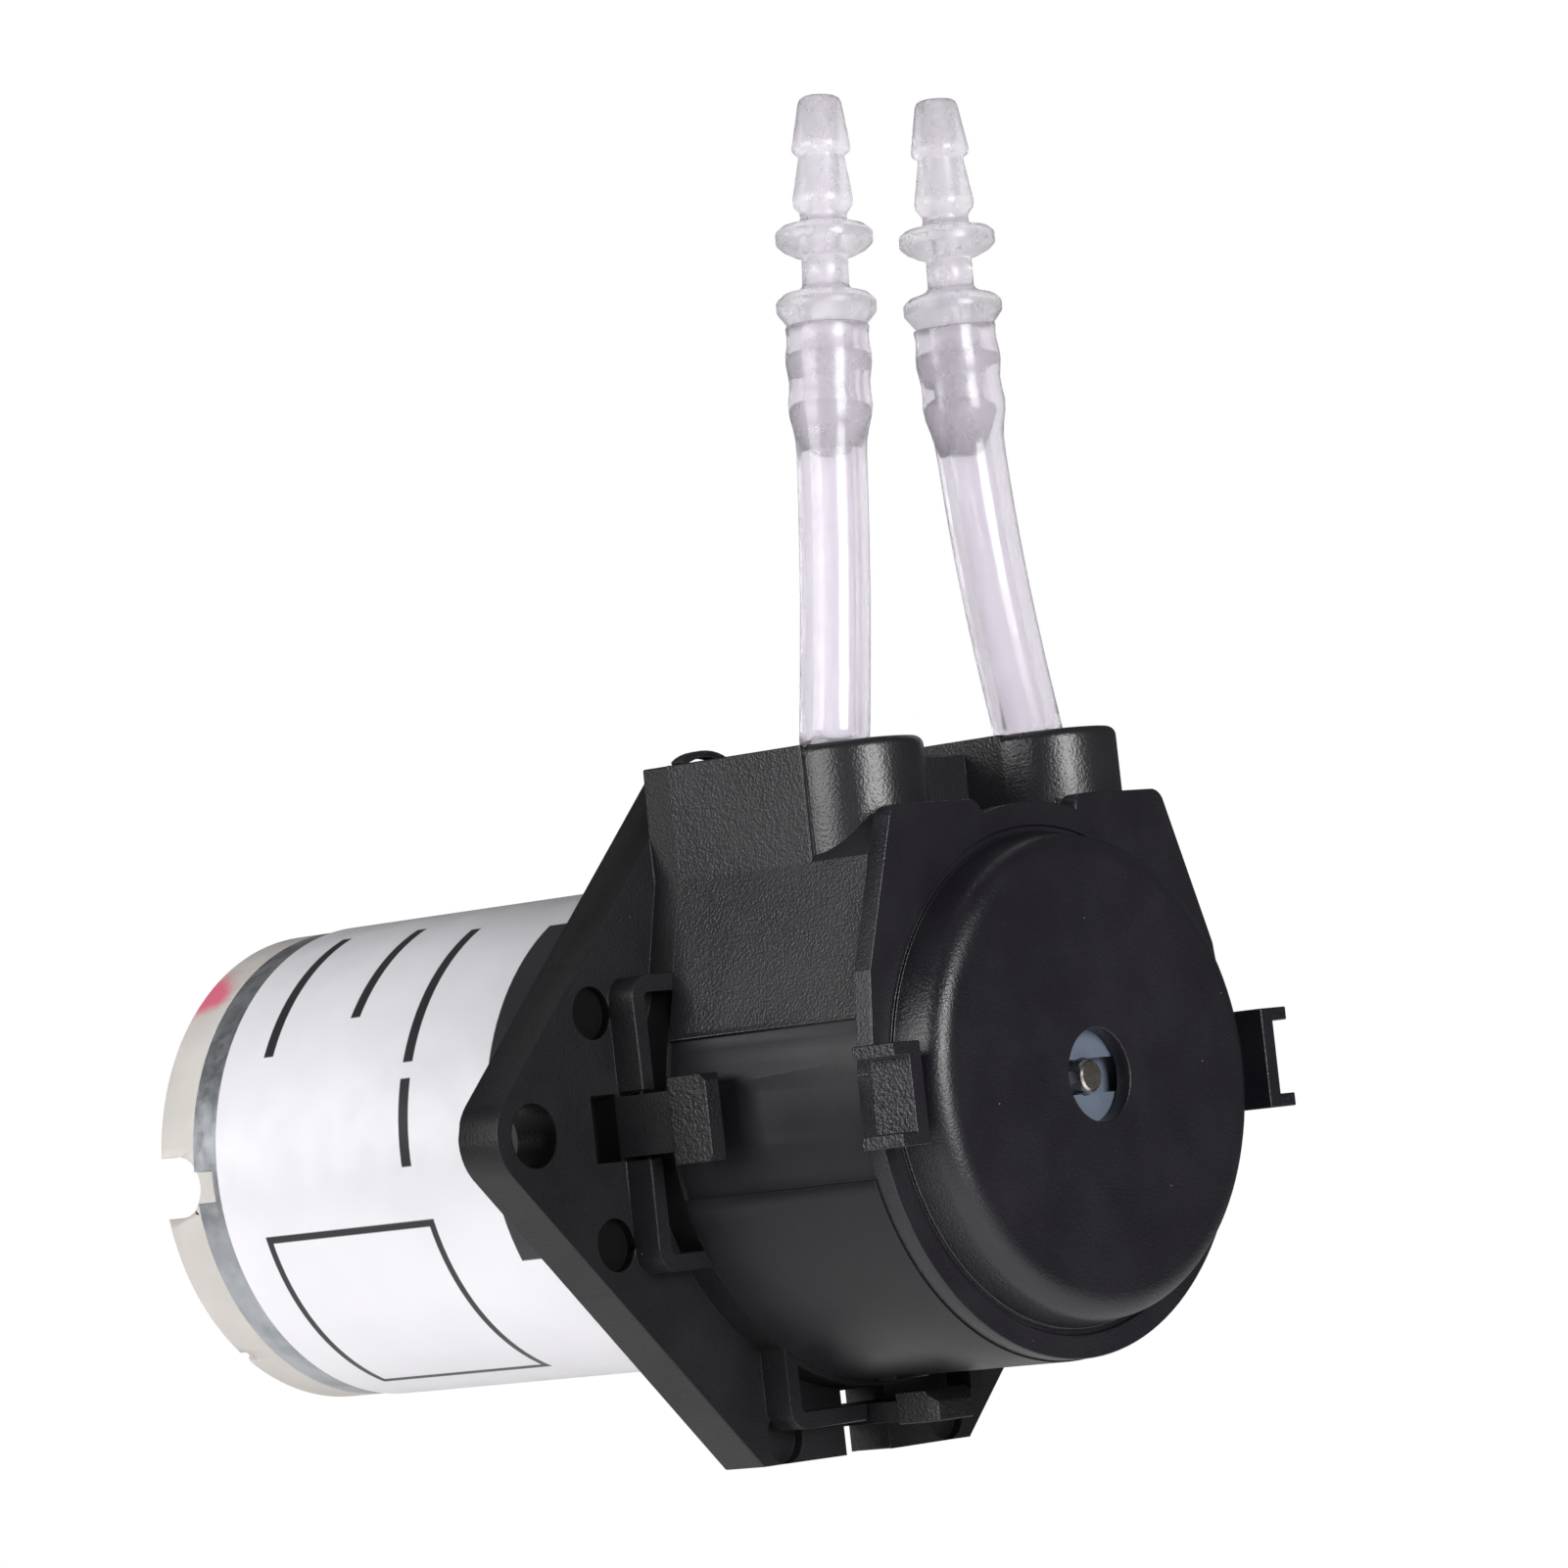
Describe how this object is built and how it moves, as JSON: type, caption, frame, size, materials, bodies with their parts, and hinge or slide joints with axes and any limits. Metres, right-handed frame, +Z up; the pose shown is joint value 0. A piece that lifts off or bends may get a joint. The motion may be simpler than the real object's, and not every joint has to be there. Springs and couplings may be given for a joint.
{
  "type": "peristaltic pump",
  "caption": "Small motor-driven peristaltic pump: round black roller head with a clip-on cover on a hexagonal mounting plate, steel motor behind it, and soft hose tails with barbed connectors.",
  "frame": {"origin": "centre of the mounting plate's rear face, on the pump's axis", "axes": "+X to the right seen from the front, +Y from the pump head back to the motor, +Z up towards the hose ports"},
  "size_m": [0.0698, 0.0843, 0.0968],
  "materials": {
    "black_plate": "fine matte black moulding with dust specks",
    "black_housing": "black moulding, spark-textured flanks and a smoother drum",
    "black_cover": "fine matte black moulding",
    "silicone_tube": "clear milky silicone",
    "clear_barb": "translucent natural polypropylene",
    "carrier_plastic": "grey-blue glossy moulding",
    "pin_steel": "plain bright steel",
    "roller_plastic": "off-white acetal",
    "shaft_steel": "ground steel",
    "core_steel": "stacked steel laminations",
    "copper_wire": "enamelled copper wire",
    "copper_bars": "turned copper bars",
    "can_steel": "galvanised drawn steel",
    "label_film": "satin silver-white film",
    "magnet_ferrite": "sintered ferrite",
    "bush_bronze": "sintered bronze",
    "cap_nylon": "off-white nylon",
    "brush_carbon": "carbon",
    "contact_brass": "stamped brass"
  },
  "bodies": {
    "base": {"mounting_plate": "black_plate", "motor_screws": "pin_steel", "motor_can": "can_steel", "motor_label": "label_film", "field_magnets": "magnet_ferrite", "front_bush": "bush_bronze", "end_cap": "cap_nylon", "rear_bush": "bush_bronze", "carbon_brushes": "brush_carbon", "brush_arms": "contact_brass", "terminals": "contact_brass"},
    "head": {"pump_housing": "black_housing", "pump_tube": "silicone_tube", "left_hose_end": "silicone_tube", "right_hose_end": "silicone_tube", "left_barb": "clear_barb", "right_barb": "clear_barb"},
    "cover": {"front_cover": "black_cover"},
    "rotor": {"motor_shaft": "shaft_steel", "armature_core": "core_steel", "windings": "copper_wire", "commutator": "copper_bars"},
    "carrier": {"carrier_front": "carrier_plastic", "carrier_rear": "carrier_plastic", "roller_pins": "pin_steel"},
    "roller_1": {"roller_1": "roller_plastic"},
    "roller_2": {"roller_2": "roller_plastic"},
    "roller_3": {"roller_3": "roller_plastic"}
  },
  "joints": [
    {"name": "head_slide", "type": "slide", "parent": "base", "child": "head", "axis": [0, -1, 0], "range_m": [0, 0.012]},
    {"name": "cover_slide", "type": "slide", "parent": "head", "child": "cover", "axis": [0, -1, 0], "range_m": [0, 0.01]},
    {"name": "shaft_spin", "type": "hinge", "parent": "base", "child": "rotor", "pos_m": [0, 0, 0], "axis": [0, 1, 0], "continuous": true, "deforming": ["pump_tube"]},
    {"name": "carrier_spin", "type": "hinge", "parent": "head", "child": "carrier", "pos_m": [0, 0, 0], "axis": [0, 1, 0], "continuous": true},
    {"name": "roller_1_spin", "type": "hinge", "parent": "carrier", "child": "roller_1", "pos_m": [0.00101, 0, 0.00824], "axis": [0, 1, 0], "continuous": true},
    {"name": "roller_2_spin", "type": "hinge", "parent": "carrier", "child": "roller_2", "pos_m": [-0.00764, 0, -0.00324], "axis": [0, 1, 0], "continuous": true},
    {"name": "roller_3_spin", "type": "hinge", "parent": "carrier", "child": "roller_3", "pos_m": [0.00663, 0, -0.005], "axis": [0, 1, 0], "continuous": true}
  ],
  "couplings": [
    {"joint": "carrier_spin", "follows": "shaft_spin", "ratio": 0.069697},
    {"joint": "roller_1_spin", "follows": "shaft_spin", "ratio": -0.15068},
    {"joint": "roller_2_spin", "follows": "shaft_spin", "ratio": -0.15068},
    {"joint": "roller_3_spin", "follows": "shaft_spin", "ratio": -0.15068}
  ]
}
